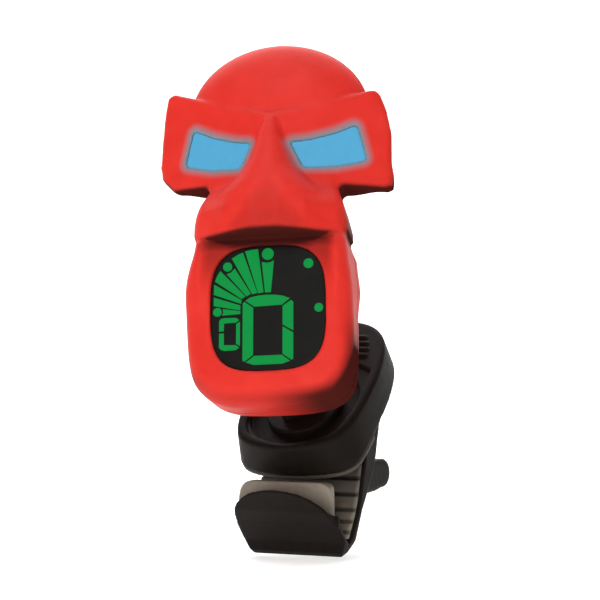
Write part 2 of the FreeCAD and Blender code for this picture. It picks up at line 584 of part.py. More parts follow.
k = D("pad_half") / 10.5
TIP = [(10.75, -5.9), (10.4, -3.9), (10.2, -2.4), (9.95, -1.4), (9.4, -0.5), (8.6, 0.05), (7.8, 0.3)]
tip_w = [Vector(x * k, -0.8, z) for x, z in TIP] + [Vector(-x * k, -0.8, z) for x, z in TIP[::-1]]
tip = Part.Face(Part.makePolygon(tip_w + [tip_w[0]])).extrude(Vector(0, 3.1, 0))
for sx in (-1, 1):
    x0 = 8.75 if sx > 0 else -10.6
    tip = tip.fuse(box(x0, x0 + 1.85, 0.92, 2.3, -8.42, -5.0))
for sx in (-1, 1):
    w = [Vector(sx * x, y, -9.0) for x, y in ((10.9, -0.4), (9.3, 2.4), (12.0, 2.4), (12.0, -0.4))]
    tip = tip.cut(Part.Face(Part.makePolygon(w + [w[0]])).extrude(Vector(0, 0, 12)))
tip = tip.cut(box(-8.7, 8.7, 0.04, 1.26, -9, -1.54))
solid("lower_jaw_pad", tip, ROW)

pin = doc.addObject("Part::Cylinder", "hinge_pin_body")
pin.setExpression("Radius", "dims.hinge_pin_d / 2")
pin.setExpression("Height", "dims.hinge_pin_l")
pin.Placement = Placement(Vector(-D("hinge_pin_l") / 2, HY, HZ), Rotation(Vector(0, 1, 0), 90))
keep(pin, "hinge_pin")

# torsion spring round the hinge pin, one leg under the upper jaw, one on the tail
R_S, d_s, pitch = 1.9, .8, 1.15
a0, a1 = 13.6, 360 * 5 - 4.07
run = pitch * (a1 - a0) / 360.0
hx = Part.makeHelix(pitch, run, R_S)
prof = Part.Wire(Part.makeCircle(d_s / 2, Vector(R_S, 0, 0), Vector(0, 1, 0)))
coil = Part.Wire(hx.Edges).makePipeShell([prof], True, True)
coil.rotate(Vector(0, 0, 0), Vector(0, 1, 0), 90)
coil.rotate(Vector(0, 0, 0), Vector(1, 0, 0), 90 + a0)
coil.translate(Vector(-run / 2, HY, HZ))


def leg(x, ang, sense, length):
    t = math.radians(ang)
    p0 = Vector(x, HY + R_S * math.cos(t), HZ + R_S * math.sin(t))
    d = Vector(0, -math.sin(t) * sense, math.cos(t) * sense)
    return Part.makeSphere(d_s / 2 * 1.02, p0).fuse(Part.makeCylinder(d_s / 2, length, p0, d))


spring = coil.fuse(leg(-run / 2, a0, -1, 7.7)).fuse(leg(run / 2, a1, 1, 8.0))
spring = spring.Solids[0] if len(spring.Solids) == 1 else spring
o = doc.addObject("Part::Feature", "F_spring")
o.Shape = spring
keep(o, "torsion_spring")

doc.recompute()
os.makedirs("parts", exist_ok=True)
for o in doc.Objects:
    st = [x for x in o.State if x in ("Invalid", "Error")]
    if st:
        raise RuntimeError("object %s is %s" % (o.Name, st))
for o in NODES:
    sh = o.Shape
    if sh.isNull() or not sh.isValid():
        raise RuntimeError("bad shape in " + o.Label)
    sh.exportStep("parts/%s.step" % o.Label)
    bb = sh.BoundBox
    print("%-22s solids %d vol %9.1f  x %6.1f %6.1f y %6.1f %6.1f z %6.1f %6.1f" % (o.Label, len(sh.Solids), sh.Volume, bb.XMin, bb.XMax, bb.YMin, bb.YMax, bb.ZMin, bb.ZMax))
print("pivot", tuple(round(x, 3) for x in P), "hinge", round(HY, 3), round(HZ, 3))
print("N", tuple(round(x, 5) for x in N), "F", tuple(round(x, 5) for x in F), "TA", tuple(round(x, 5) for x in TA), "HR", tuple(round(x, 5) for x in HR), "HU", tuple(round(x, 5) for x in HU), "HO", tuple(round(x, 3) for x in HO))
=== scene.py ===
import math
import bpy
import numpy as np
from mathutils import Matrix, Vector


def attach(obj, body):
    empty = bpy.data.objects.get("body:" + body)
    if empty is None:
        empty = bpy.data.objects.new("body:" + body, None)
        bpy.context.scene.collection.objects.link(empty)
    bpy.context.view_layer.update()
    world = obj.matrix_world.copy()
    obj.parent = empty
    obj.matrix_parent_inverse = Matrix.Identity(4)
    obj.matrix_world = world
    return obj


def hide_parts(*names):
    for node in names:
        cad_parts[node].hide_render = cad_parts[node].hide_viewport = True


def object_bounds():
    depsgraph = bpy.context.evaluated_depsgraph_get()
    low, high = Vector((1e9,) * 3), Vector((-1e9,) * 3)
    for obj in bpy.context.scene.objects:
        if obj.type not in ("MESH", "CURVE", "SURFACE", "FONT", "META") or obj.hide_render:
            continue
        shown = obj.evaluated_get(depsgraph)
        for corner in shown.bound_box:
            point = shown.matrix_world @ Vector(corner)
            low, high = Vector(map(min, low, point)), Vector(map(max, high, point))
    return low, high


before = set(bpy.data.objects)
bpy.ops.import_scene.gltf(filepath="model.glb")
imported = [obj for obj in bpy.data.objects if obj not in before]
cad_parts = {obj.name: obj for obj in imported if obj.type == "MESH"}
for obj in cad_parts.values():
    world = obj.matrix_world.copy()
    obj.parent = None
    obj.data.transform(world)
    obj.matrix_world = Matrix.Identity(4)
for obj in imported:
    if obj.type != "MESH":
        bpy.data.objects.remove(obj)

CAD_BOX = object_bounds()
MM = 0.001

# ------------------------------------------------------------------ frames (mm, row frame)
T_CLIP = math.radians(41.0)
JF = np.array([0, -3.0, 6.8])
JL = np.array([0, math.cos(T_CLIP), math.sin(T_CLIP)])
JN = np.array([0, -math.sin(T_CLIP), math.cos(T_CLIP)])
LP = 13.0
PIVOT = JF + JL * LP + JN * 9.5
F = np.array([0.26857, -0.93662, 0.22495]); F /= np.linalg.norm(F)
HU = np.array([-0.10784, 0.20283, 0.97326]); HU -= F * HU.dot(F); HU /= np.linalg.norm(HU)
HR = np.cross(HU, F)
V0, W0 = -7.592, -18.150
HO = PIVOT - HU * V0 - F * W0
TA = np.cross(JN, F); TA /= np.linalg.norm(TA)
X = np.array([1.0, 0, 0]); Y = np.array([0, 1.0, 0]); Z = np.array([0, 0, 1.0])
ROW = (np.zeros(3), X, Y, Z)
JAW = (JF, X, JL, JN)
HEAD = (HO, HR, HU, F)
HUB = (JF + JL * LP, TA, np.cross(JN, TA), JN)
NECK = (PIVOT, TA, np.cross(F, TA), F)
HY, HZ = 15.407, 11.538


def to_row(p, fr):
    p = np.asarray(p, float)
    return (fr[0] + p[:, :1] * fr[1] + p[:, 1:2] * fr[2] + p[:, 2:3] * fr[3]) * MM


# ------------------------------------------------------------------ field tools
def r_and(a, b, r):
    """Both, with the edge between them rounded to r."""
    return np.minimum(-r, np.maximum(a, b)) + np.hypot(np.maximum(r + a, 0), np.maximum(r + b, 0))


def r_or(a, b, r):
    """Either, with the crease between them filled to r."""
    return np.maximum(r, np.minimum(a, b)) - np.hypot(np.maximum(r - a, 0), np.maximum(r - b, 0))


def poly_field(px, py, pts):
    """Signed distance to a closed polygon, negative inside."""
    d = np.full(np.broadcast(px, py).shape, 1e9)
    s = np.ones_like(d)
    n = len(pts)
    for i in range(n):
        ax, ay = pts[i]
        bx, by = pts[i - 1]
        ex, ey = bx - ax, by - ay
        wx, wy = px - ax, py - ay
        t = np.clip((wx * ex + wy * ey) / (ex * ex + ey * ey), 0, 1)
        dx, dy = wx - ex * t, wy - ey * t
        d = np.minimum(d, dx * dx + dy * dy)
        c1, c2, c3 = py >= ay, py < by, ex * wy > ey * wx
        flip = (c1 & c2 & c3) | (~c1 & ~c2 & ~c3)
        s = np.where(flip, -s, s)
    return s * np.sqrt(d)


def curve_pts(pts, k=6, closed=True):
    """Catmull-Rom points through pts."""
    p = np.asarray(pts, float)
    n = len(p)
    out = []
    for i in range(n if closed else n - 1):
        a, b = p[(i - 1) % n] if closed or i else p[0], p[i]
        c = p[(i + 1) % n]
        d = p[(i + 2) % n] if closed or i + 2 < n else p[-1]
        for j in range(k):
            t = j / k
            out.append(0.5 * ((2 * b) + (c - a) * t + (2 * a - 5 * b + 4 * c - d) * t * t + (3 * b - a - 3 * c + d) * t ** 3))
    if not closed:
        out.append(p[-1])
    return [tuple(q) for q in out]


def smooth(x, a, b):
    t = np.clip((x - a) / (b - a), 0, 1)
    return t * t * (3 - 2 * t)


def lut(x, table):
    t = sorted(table)
    return np.interp(x, [q[0] for q in t], [q[1] for q in t])


def grid(lo, hi, step):
    ax = [np.arange(l, h + step, step) for l, h in zip(lo, hi)]
    return ax, ax[0][:, None, None], ax[1][None, :, None], ax[2][None, None, :]


def skin(val, ax):
    """Surface of a field as vertices and quads, by surface nets."""
    step = ax[0][1] - ax[0][0]
    val = val.astype(np.float32)
    ins = val < 0
    nx, ny, nz = val.shape
    cnt = np.zeros((nx - 1, ny - 1, nz - 1), np.uint8)
    for a in (0, 1):
        for b in (0, 1):
            for c in (0, 1):
                cnt += ins[a:nx - 1 + a, b:ny - 1 + b, c:nz - 1 + c]
    act = (cnt > 0) & (cnt < 8)
    I, J, K = np.nonzero(act)
    idx = np.full(act.shape, -1, np.int64)
    idx[I, J, K] = np.arange(len(I))
    acc = np.zeros((len(I), 3)); num = np.zeros(len(I))
    corners = [(a, b, c) for a in (0, 1) for b in (0, 1) for c in (0, 1)]
    for p in corners:
        for ax_i in range(3):
            if p[ax_i]:
                continue
            q = list(p); q[ax_i] = 1
            v0 = val[I + p[0], J + p[1], K + p[2]]; v1 = val[I + q[0], J + q[1], K + q[2]]
            m = (v0 < 0) != (v1 < 0)
            t = np.where(m, v0 / np.where(m, v0 - v1, 1), 0)
            pos = np.repeat(np.array(p, float)[None], len(I), 0); pos[:, ax_i] += t
            acc += pos * m[:, None]; num += m
    P = acc / num[:, None] + np.c_[I, J, K]
    P = P * step + np.array([a[0] for a in ax])
    quads = []
    for a in range(3):
        b, c = (a + 1) % 3, (a + 2) % 3
        s0 = [slice(None)] * 3; s1 = [slice(None)] * 3
        s0[a] = slice(0, -1); s1[a] = slice(1, None)
        A, B = ins[tuple(s0)], ins[tuple(s1)]
        E = np.array(np.nonzero(A != B))
        ok = (E[b] > 0) & (E[c] > 0) & (E[b] < val.shape[b] - 1) & (E[c] < val.shape[c] - 1)
        E = E[:, ok]
        fl = A[tuple(E)]
        cell = []
        for ob, oc in ((-1, -1), (0, -1), (0, 0), (-1, 0)):
            q = E.copy(); q[b] += ob; q[c] += oc
            cell.append(idx[tuple(q)])
        Q = np.stack(cell, 1)
        Q = np.where(fl[:, None], Q, Q[:, ::-1])
        quads.append(Q)
    return P, np.concatenate(quads)


def relax(P, Q, rounds=2, k=0.5):
    """Evens out the net without shrinking it."""
    e = np.concatenate([Q[:, [0, 1]], Q[:, [1, 2]], Q[:, [2, 3]], Q[:, [3, 0]]])
    e = np.concatenate([e, e[:, ::-1]])
    deg = np.bincount(e[:, 0], minlength=len(P)).astype(float)[:, None]
    for i in range(rounds):
        for kk in (k, -k * 1.05):
            s = np.zeros_like(P)
            for c in range(3):
                s[:, c] = np.bincount(e[:, 0], weights=P[e[:, 1], c], minlength=len(P))
            P = P + kk * (s / deg - P)
    return P


def biggest(P, Q, keep_share=0.02):
    """Drops loose specks."""
    lab = np.arange(len(P))
    for _ in range(400):
        m = np.minimum.reduce([lab[Q[:, i]] for i in range(4)])
        new = lab.copy()
        for i in range(4):
            np.minimum.at(new, Q[:, i], m)
        new = new[new]
        if (new == lab).all():
            break
        lab = new
    n = np.bincount(lab, minlength=len(P))
    ok = n[lab] >= keep_share * len(P)
    re = np.cumsum(ok) - 1
    Q = Q[ok[Q[:, 0]]]
    return P[ok], re[Q], ok


def mesh_obj(name, verts, faces, mat, body, node=(), attrs=None, flat=False, sharp=None):
    me = bpy.data.meshes.new(name)
    verts = np.asarray(verts, np.float32)
    me.vertices.add(len(verts)); me.vertices.foreach_set("co", verts.ravel())
    if isinstance(faces, np.ndarray):
        n, k = faces.shape
        me.loops.add(n * k); me.loops.foreach_set("vertex_index", faces.astype(np.int32).ravel())
        me.polygons.add(n); me.polygons.foreach_set("loop_start", np.arange(0, n * k, k, dtype=np.int32))
    else:
        tot = sum(len(f) for f in faces)
        me.loops.add(tot); me.loops.foreach_set("vertex_index", np.array([i for f in faces for i in f], np.int32))
        st = np.cumsum([0] + [len(f) for f in faces[:-1]]).astype(np.int32)
        me.polygons.add(len(faces)); me.polygons.foreach_set("loop_start", st)
    me.update(calc_edges=True)
    me.validate()
    for k, v in (attrs or {}).items():
        a = me.attributes.new(k, "FLOAT", "POINT")
        a.data.foreach_set("value", np.asarray(v, np.float32))
    me.shade_flat() if flat else me.shade_smooth()
    if sharp is not None and not flat:
        me.set_sharp_from_angle(angle=math.radians(sharp))
    o = bpy.data.objects.new(name, me)
    bpy.context.scene.collection.objects.link(o)
    if mat:
        me.materials.append(mat)
    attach(o, body)
    if node:
        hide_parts(*node)
    return o


def field_obj(name, val, ax, fr, mat, body, node=(), attr_fn=None, rounds=2):
    P, Q = skin(val, ax)
    P = relax(P, Q, rounds)
    P, Q, _ = biggest(P, Q)
    at = attr_fn(P) if attr_fn else None
    # frames are right-handed, so winding carries over
    return mesh_obj(name, to_row(P, fr), Q, mat, body, node, at)


# ------------------------------------------------------------------ materials
def new_mat(name):
    m = bpy.data.materials.new(name)
    m.use_nodes = True
    nt = m.node_tree
    return m, nt, nt.nodes["Principled BSDF"], nt.nodes, nt.links


def plastic(name, base, base2, rough, rough2, bump=0.02, scale=900.0, spec=0.5, coat=0.0, metal=0.0, grain=2600.0, bump_d=0.0002):
    m, nt, b, n, l = new_mat(name)
    tc = n.new("ShaderNodeTexCoord")
    no = n.new("ShaderNodeTexNoise"); no.inputs["Scale"].default_value = scale; no.inputs["Detail"].default_value = 4.0
    l.new(tc.outputs["Object"], no.inputs["Vector"])
    rp = n.new("ShaderNodeValToRGB")
    rp.color_ramp.elements[0].position = 0.3; rp.color_ramp.elements[0].color = (*base, 1)
    rp.color_ramp.elements[1].position = 0.7; rp.color_ramp.elements[1].color = (*base2, 1)
    l.new(no.outputs["Fac"], rp.inputs["Fac"]); l.new(rp.outputs["Color"], b.inputs["Base Color"])
    mr = n.new("ShaderNodeMapRange"); mr.inputs["From Min"].default_value = 0.3; mr.inputs["From Max"].default_value = 0.7
    mr.inputs["To Min"].default_value = rough; mr.inputs["To Max"].default_value = rough2
    l.new(no.outputs["Fac"], mr.inputs["Value"]); l.new(mr.outputs["Result"], b.inputs["Roughness"])
    g = n.new("ShaderNodeTexNoise"); g.inputs["Scale"].default_value = grain; g.inputs["Detail"].default_value = 3.0
    l.new(tc.outputs["Object"], g.inputs["Vector"])
    bp = n.new("ShaderNodeBump"); bp.inputs["Strength"].default_value = bump; bp.inputs["Distance"].default_value = bump_d
    l.new(g.outputs["Fac"], bp.inputs["Height"]); l.new(bp.outputs["Normal"], b.inputs["Normal"])
    b.inputs["Specular IOR Level"].default_value = spec
    b.inputs["Metallic"].default_value = metal
    if coat:
        b.inputs["Coat Weight"].default_value = coat
        b.inputs["Coat Roughness"].default_value = 0.15
    return m


def emit_mat(name, base, emit, strength, rough=0.3):
    m, nt, b, n, l = new_mat(name)
    tc = n.new("ShaderNodeTexCoord")
    no = n.new("ShaderNodeTexNoise"); no.inputs["Scale"].default_value = 400.0
    l.new(tc.outputs["Object"], no.inputs["Vector"])
    rp = n.new("ShaderNodeValToRGB")
    rp.color_ramp.elements[0].position = 0.25; rp.color_ramp.elements[0].color = (*[c * 0.93 for c in emit], 1)
    rp.color_ramp.elements[1].position = 0.75; rp.color_ramp.elements[1].color = (*emit, 1)
    l.new(no.outputs["Fac"], rp.inputs["Fac"]); l.new(rp.outputs["Color"], b.inputs["Emission Color"])
    b.inputs["Base Color"].default_value = (*base, 1)
    b.inputs["Roughness"].default_value = rough
    b.inputs["Emission Strength"].default_value = strength
    b.inputs["Specular IOR Level"].default_value = 0.12
    return m


def red_shell():
    m, nt, b, n, l = new_mat("red_shell_soft")
    tc = n.new("ShaderNodeTexCoord")
    no = n.new("ShaderNodeTexNoise"); no.inputs["Scale"].default_value = 220.0; no.inputs["Detail"].default_value = 5.0
    l.new(tc.outputs["Object"], no.inputs["Vector"])
    rp = n.new("ShaderNodeValToRGB")
    rp.color_ramp.elements[0].position = 0.3; rp.color_ramp.elements[0].color = (0.74, 0.030, 0.021, 1)
    rp.color_ramp.elements[1].position = 0.7; rp.color_ramp.elements[1].color = (0.80, 0.037, 0.026, 1)
    l.new(no.outputs["Fac"], rp.inputs["Fac"])
    at = n.new("ShaderNodeAttribute"); at.attribute_name = "painted_eye_glow"
    painted_eye_glow = n.new("ShaderNodeValToRGB")
    e = painted_eye_glow.color_ramp.elements
    e[0].position = 0.0; e[0].color = (0, 0, 0, 1)
    e[1].position = 1.0; e[1].color = (1, 1, 1, 1)
    l.new(at.outputs["Fac"], painted_eye_glow.inputs["Fac"])
    mx = n.new("ShaderNodeMix"); mx.data_type = "RGBA"
    # painted eye glow: grey-blue colour mixed in around the eyes
    mx.inputs[7].default_value = (0.20, 0.27, 0.31, 1)
    sh = n.new("ShaderNodeAttribute"); sh.attribute_name = "shade"
    # painted shade: dark red-brown mixed in where the shade value is high
    painted_shade_mix = n.new("ShaderNodeMix"); painted_shade_mix.data_type = "RGBA"
    painted_shade_mix.inputs[7].default_value = (0.060, 0.010, 0.008, 1)
    l.new(sh.outputs["Fac"], painted_shade_mix.inputs[0]); l.new(rp.outputs["Color"], painted_shade_mix.inputs[6])
    l.new(painted_eye_glow.outputs["Color"], mx.inputs[0]); l.new(painted_shade_mix.outputs[2], mx.inputs[6])
    l.new(mx.outputs[2], b.inputs["Base Color"])
    mr = n.new("ShaderNodeMapRange"); mr.inputs["To Min"].default_value = 0.42; mr.inputs["To Max"].default_value = 0.52
    l.new(no.outputs["Fac"], mr.inputs["Value"]); l.new(mr.outputs["Result"], b.inputs["Roughness"])
    g = n.new("ShaderNodeTexNoise"); g.inputs["Scale"].default_value = 2400.0; g.inputs["Detail"].default_value = 3.0
    l.new(tc.outputs["Object"], g.inputs["Vector"])
    bp = n.new("ShaderNodeBump"); bp.inputs["Strength"].default_value = 0.05; bp.inputs["Distance"].default_value = 0.0002
    l.new(g.outputs["Fac"], bp.inputs["Height"]); l.new(bp.outputs["Normal"], b.inputs["Normal"])
    # less specular where shade is painted
    sp = n.new("ShaderNodeMapRange"); sp.inputs["To Min"].default_value = 0.12; sp.inputs["To Max"].default_value = 0.0
    l.new(sh.outputs["Fac"], sp.inputs["Value"]); l.new(sp.outputs["Result"], b.inputs["Specular IOR Level"])
    return m


def toned(m, col, amount=1.0):
    """Mixes a second colour in where the mesh carries a tone value."""
    nt = m.node_tree; n, l = nt.nodes, nt.links
    b = n["Principled BSDF"]
    src = b.inputs["Base Color"].links[0].from_socket
    at = n.new("ShaderNodeAttribute"); at.attribute_name = "tone"
    mu = n.new("ShaderNodeMath"); mu.operation = "MULTIPLY"; mu.inputs[1].default_value = amount
    l.new(at.outputs["Fac"], mu.inputs[0])
    mx = n.new("ShaderNodeMix"); mx.data_type = "RGBA"; mx.inputs[7].default_value = (*col, 1)
    l.new(mu.outputs[0], mx.inputs[0]); l.new(src, mx.inputs[6]); l.new(mx.outputs[2], b.inputs["Base Color"])
    return m


M_RED = red_shell()
M_BUTTON = plastic("button_red_rubber", (0.60, 0.022, 0.016), (0.66, 0.030, 0.022), 0.5, 0.62, 0.08)
M_EYE = emit_mat("eye_blue_lit", (0.02, 0.10, 0.17), (0.100, 0.41, 0.655), 0.80, 0.4)
M_GREEN = emit_mat("segment_green_lit", (0.0, 0.05, 0.012), (0.0005, 0.275, 0.046), 0.92, 0.5)
M_LCD = plastic("display_black_glass", (0.010, 0.010, 0.009), (0.0115, 0.011, 0.010), 0.34, 0.40, 0.01, 300.0, 0.08)
M_OUT = plastic("display_outline_grey", (0.05, 0.055, 0.05), (0.06, 0.065, 0.06), 0.4, 0.5, 0.02)
M_BLACK = plastic("clip_black_satin", (0.0095, 0.0074, 0.0064), (0.0125, 0.0098, 0.0085), 0.42, 0.54, 0.10, 500.0, 0.045, grain=1800.0)
M_PADG = plastic("pad_light_grey", (0.29, 0.255, 0.205), (0.33, 0.29, 0.235), 0.62, 0.75, 0.15, 700.0, 0.35)
M_PADG = toned(M_PADG, (0.15, 0.13, 0.10))
M_PADU = plastic("pad_dark_grey", (0.060, 0.050, 0.038), (0.075, 0.062, 0.048), 0.62, 0.75, 0.15, 700.0, 0.3)
# dark tone colour: painted shade in the spine liner's grooves, and darker towards the top
M_PADD = toned(plastic("pad_mid_grey", (0.19, 0.165, 0.125), (0.22, 0.19, 0.145), 0.62, 0.75, 0.15, 700.0, 0.3), (0.028, 0.023, 0.018))
M_STEEL = plastic("steel_plated", (0.48, 0.48, 0.47), (0.56, 0.56, 0.55), 0.25, 0.38, 0.05, 800.0, 0.5, metal=1.0)
M_DARKST = plastic("steel_dark", (0.20, 0.20, 0.20), (0.26, 0.26, 0.26), 0.30, 0.42, 0.05, 800.0, 0.5, metal=1.0)
M_BRASS = plastic("brass_disc", (0.62, 0.44, 0.17), (0.70, 0.50, 0.20), 0.3, 0.4, 0.05, 700.0, 0.5, metal=1.0)
M_BOARD = plastic("board_green", (0.008, 0.095, 0.030), (0.012, 0.12, 0.038), 0.35, 0.5, 0.05, 500.0, 0.5)
M_CHIP = plastic("chip_epoxy", (0.014, 0.014, 0.015), (0.020, 0.020, 0.021), 0.5, 0.62, 0.1, 900.0, 0.4)
M_MILK = plastic("diffuser_milky", (0.74, 0.76, 0.74), (0.80, 0.81, 0.79), 0.45, 0.55, 0.03, 400.0, 0.4)
M_STRIP = plastic("strip_elastomer", (0.30, 0.10, 0.20), (0.38, 0.16, 0.26), 0.6, 0.7, 0.05, 1200.0, 0.3)
M_LED = plastic("led_epoxy", (0.50, 0.66, 0.82), (0.58, 0.72, 0.86), 0.15, 0.22, 0.01, 500.0, 0.6)

KEEP_MATS = {
    "lcd_panel": M_LCD, "light_diffuser": M_MILK, "contact_strip": M_STRIP, "main_board": M_BOARD, "tuner_chip": M_CHIP,
    "piezo_sensor": M_BRASS, "eye_board": M_BOARD, "eye_leds": M_LED, "coin_cell": M_STEEL, "battery_contact_inner": M_STEEL,
    "battery_contact_side": M_STEEL, "power_switch": M_CHIP, "shell_screws": M_DARKST, "neck_retainer": M_BLACK,
    "neck": M_BLACK, "swivel_hub": M_BLACK, "hub_washer": M_STEEL, "hub_screw": M_DARKST, "tilt_pin": M_STEEL,
    "hinge_pin": M_STEEL, "torsion_spring": M_STEEL, "battery_cap": M_RED, "power_button": M_BUTTON,
    "display_window": M_LCD, "eye_lens_left": M_EYE, "eye_lens_right": M_EYE, "front_shell": M_RED, "rear_shell": M_RED,
    "upper_jaw": M_BLACK, "lower_jaw": M_BLACK, "upper_jaw_pad": M_PADG, "lower_jaw_pad": M_PADG, "spine_pad": M_PADD}
for nm, mt in KEEP_MATS.items():
    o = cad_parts[nm]
    o.data.materials.clear()
    o.data.materials.append(mt)

# ------------------------------------------------------------------ skull head
STEP = 0.36
CHIN = [(3.6, -18.4), (8.8, -17.9), (12.4, -16.3), (15.0, -13.3), (16.3, -9.0), (16.65, -4.0), (16.6, 2.5), (16.2, 6.0), (15.4, 9.0), (14.5, 12.0),
        (14.3, 15.0), (14.0, 19.0), (13.0, 23.0), (12.5, 27.0), (12.4, 30.0)]
CHIN_R = [(3.6, -18.4), (8.8, -17.9), (12.4, -16.5), (14.8, -13.4), (16.0, -9.0), (16.2, -4.0), (16.0, 2.5), (15.7, 6.0), (15.3, 9.0), (15.0, 12.0),
          (14.6, 15.0), (14.0, 19.0), (13.0, 23.0), (12.5, 27.0), (12.4, 30.0)]
CHIN = CHIN_R + [(-x, y) for x, y in reversed(CHIN)]
CHEEK = [(14.6, 13.6), (15.25, 15.0), (15.2, 17.0), (14.3, 20.5), (13.0, 24.0), (12.6, 27.4), (10.0, 28.6), (6.0, 29.4)]
CHEEK = CHEEK + [(-x, y) for x, y in reversed(CHEEK)]
VIS_TOP = [(h, 39.3 + 6.3 * (abs(h) / 20.8) ** 1.25) for h in np.linspace(20.5, -20.5, 19)]
VIS_R = [(21.3, 24.7), (22.7, 25.4), (22.9, 27.5), (22.7, 30.5), (22.7, 36.0), (21.7, 41.0), (20.6, 43.9), (19.6, 44.9)]
VIS_L = [(-22.2, 44.9), (-22.9, 41.5), (-23.4, 36.0), (-23.8, 30.5), (-23.3, 27.8), (-20.4, 25.0)]
VIS_TOP = [p for p in VIS_TOP if -21.5 < p[0] < 19.3]
VISOR = VIS_R + VIS_TOP + VIS_L
VISOR = [(x, y - 0.030 * x) for x, y in VISOR]
EYE_R = [(16.1, 37.2), (17.9, 30.1), (12.3, 28.6), (6.2, 28.1), (3.75, 33.1), (7.4, 33.65), (12.2, 35.2)]
EYE_L = [(-x, y + 0.022 * x) for x, y in EYE_R][::-1]
EYE_R = [(x, y - 0.022 * x) for x, y in EYE_R]
NOSE = [(39.0, 0.4), (38.3, 0.9), (37.6, 1.4), (36.6, 1.9), (35.3, 2.4), (32.6, 3.3), (30.0, 4.3), (28.0, 5.4), (26.5, 6.7), (25.0, 8.4), (23.5, 10.4), (22.0, 12.5)]
FL = 5.54
WIN_A, WIN_B, WIN_N = 11.15, 12.1, 3.3


def brow_w(h):
    return -1.0 - 7.2 * (np.abs(h) / 23.3) ** 1.35


def face_w(h, v):
    """Front of the upper jaw bone, as height against the front view."""
    bone = lut(v, [(30.0, 5.4), (24.0, 5.5), (21.0, 5.7), (14.0, 5.8)]) - 5.0 * (np.abs(h) / 12.9) ** 2.2
    t = smooth(v + 0.10 * np.abs(h), 29.6, 19.4)
    band = smooth(v, 25.0, 20.5)
    u = np.abs(h) * lut(v, [(14, 1.0), (22, 1.09), (26, 1.2)])
    ridge = 1 - np.abs(np.cos(math.pi * u / FL))
    return brow_w(h) - 1.6 + (bone - brow_w(h) + 1.6) * t + 0.42 * (ridge - 0.4) * band * smooth(v, 14.2, 17.5)


def nose_w(h, v):
    """Ridge of the nose, a rounded tent that widens as it comes down."""
    crest = lut(v, [(39.0, -1.5), (38.3, -0.7), (37.4, 0.1), (35.5, 1.0), (33.0, 2.0), (28.0, 4.0), (24.0, 5.2), (21.0, 5.5), (18.0, 5.0)])
    hn = lut(v, NOSE)
    x = np.clip(np.abs(h) / hn, 0, 3)
    return crest - np.maximum(crest - brow_w(h) + 0.4, 0.3) * np.minimum(x, 1.5) ** 2.8


def outline_2d(h, v, pts, k=4):
    return poly_field(h[:, :, 0], v[:, :, 0], curve_pts(pts, k))[:, :, None]


def head_fields():
    ax, h, v, w = grid((-24.2, -20.0, -20.0), (24.2, 57.0, 7.6), STEP)
    hb, vb = np.broadcast_to(h, (len(ax[0]), len(ax[1]), 1)), np.broadcast_to(v, (len(ax[0]), len(ax[1]), 1))
    # jaw block
    out = poly_field(hb[:, :, 0], vb[:, :, 0], curve_pts(CHIN, 4))[:, :, None]
    fw = 0.9 + 1.6 * smooth(np.abs(hb), 11.0, 14.0) * smooth(vb, -2.0, 12.0) - 0.010 * hb * hb * smooth(vb, 4, -8) * 0.4
    fw = fw - 0.022 * np.clip(-vb - 11.5, 0, 9) ** 2
    back = 0.095 * np.maximum(-w, 0) * lut(vb, [(-14, 0), (-11, 0.5), (-8, 0.9), (0, 0.9), (3, 0.5), (5, 0.2), (11, 0.15), (13, 0.7), (15, 1.0), (60, 1.0)])
    fw = fw + (brow_w(hb) - 1.8 - fw) * smooth(vb, 12.6, 19.0)
    chin = r_and(out + back, (w - fw) * 0.97, 3.6)
    chin = r_and(chin, -14.4 - w, 2.8)
    # upper jaw bone with nose and flutes
    out = poly_field(hb[:, :, 0], vb[:, :, 0], CHEEK)[:, :, None]
    low = (14.3 - 0.17 * (hb / 6.0) ** 2 + 0.36 * (w - 6) - vb) * 0.94
    fw = face_w(hb, vb)
    cheek = r_and(out + back, (w - fw) * 0.86, 1.1)
    cheek = r_and(cheek, low, 1.1)
    cheek = np.maximum(cheek, -13.5 - w)
    nose = r_and((w - nose_w(hb, vb)) * 0.62, np.abs(h) - 12.0, 0.5)
    nose = r_and(r_and(nose, 18.0 - vb, 0.5), np.maximum(-6.0 - w, vb - 38.5), 0.9)
    # brow band
    out = poly_field(hb[:, :, 0], vb[:, :, 0], VISOR)[:, :, None]
    bw = brow_w(hb)
    slope = 1.0 / np.sqrt(1 + (7.2 * 1.35 / 23.3 * (np.abs(hb) / 23.3) ** 0.35) ** 2)
    tuck = np.maximum(bw - w - 0.5, 0) * smooth(np.abs(hb), 14.0, 20.0) * (0.14 + 0.22 * smooth(vb, 26.0, 30.0))
    visor = r_and(r_and(out + tuck, (w - bw) * slope, 1.3), (-12.9 - w) * 1.0, 1.2)
    # cranium
    k0 = np.sqrt((h / 17.9) ** 2 + ((v - 40.5) / 14.6) ** 2 + ((w + 10.2) / 8.0) ** 2)
    k1 = np.sqrt((h / 17.9 ** 2) ** 2 + ((v - 40.5) / 14.6 ** 2) ** 2 + ((w + 10.2) / 8.0 ** 2) ** 2)
    dome = k0 * (k0 - 1) / np.maximum(k1, 1e-6)
    dome = r_and(dome, -18.1 - w, 1.2)
    tub = r_and(np.hypot(h, v - 36.4) - 13.7, np.maximum(-18.4 - w, w + 9.0), 0.8)
    body = r_or(cheek, visor, 1.6)
    body = r_or(body, nose, 0.7)
    body = r_or(body, chin, 0.5)
    body = r_or(body, dome, 0.4)
    outer = r_or(body, tub, 1.4)
    return ax, h, v, w, hb, vb, outer


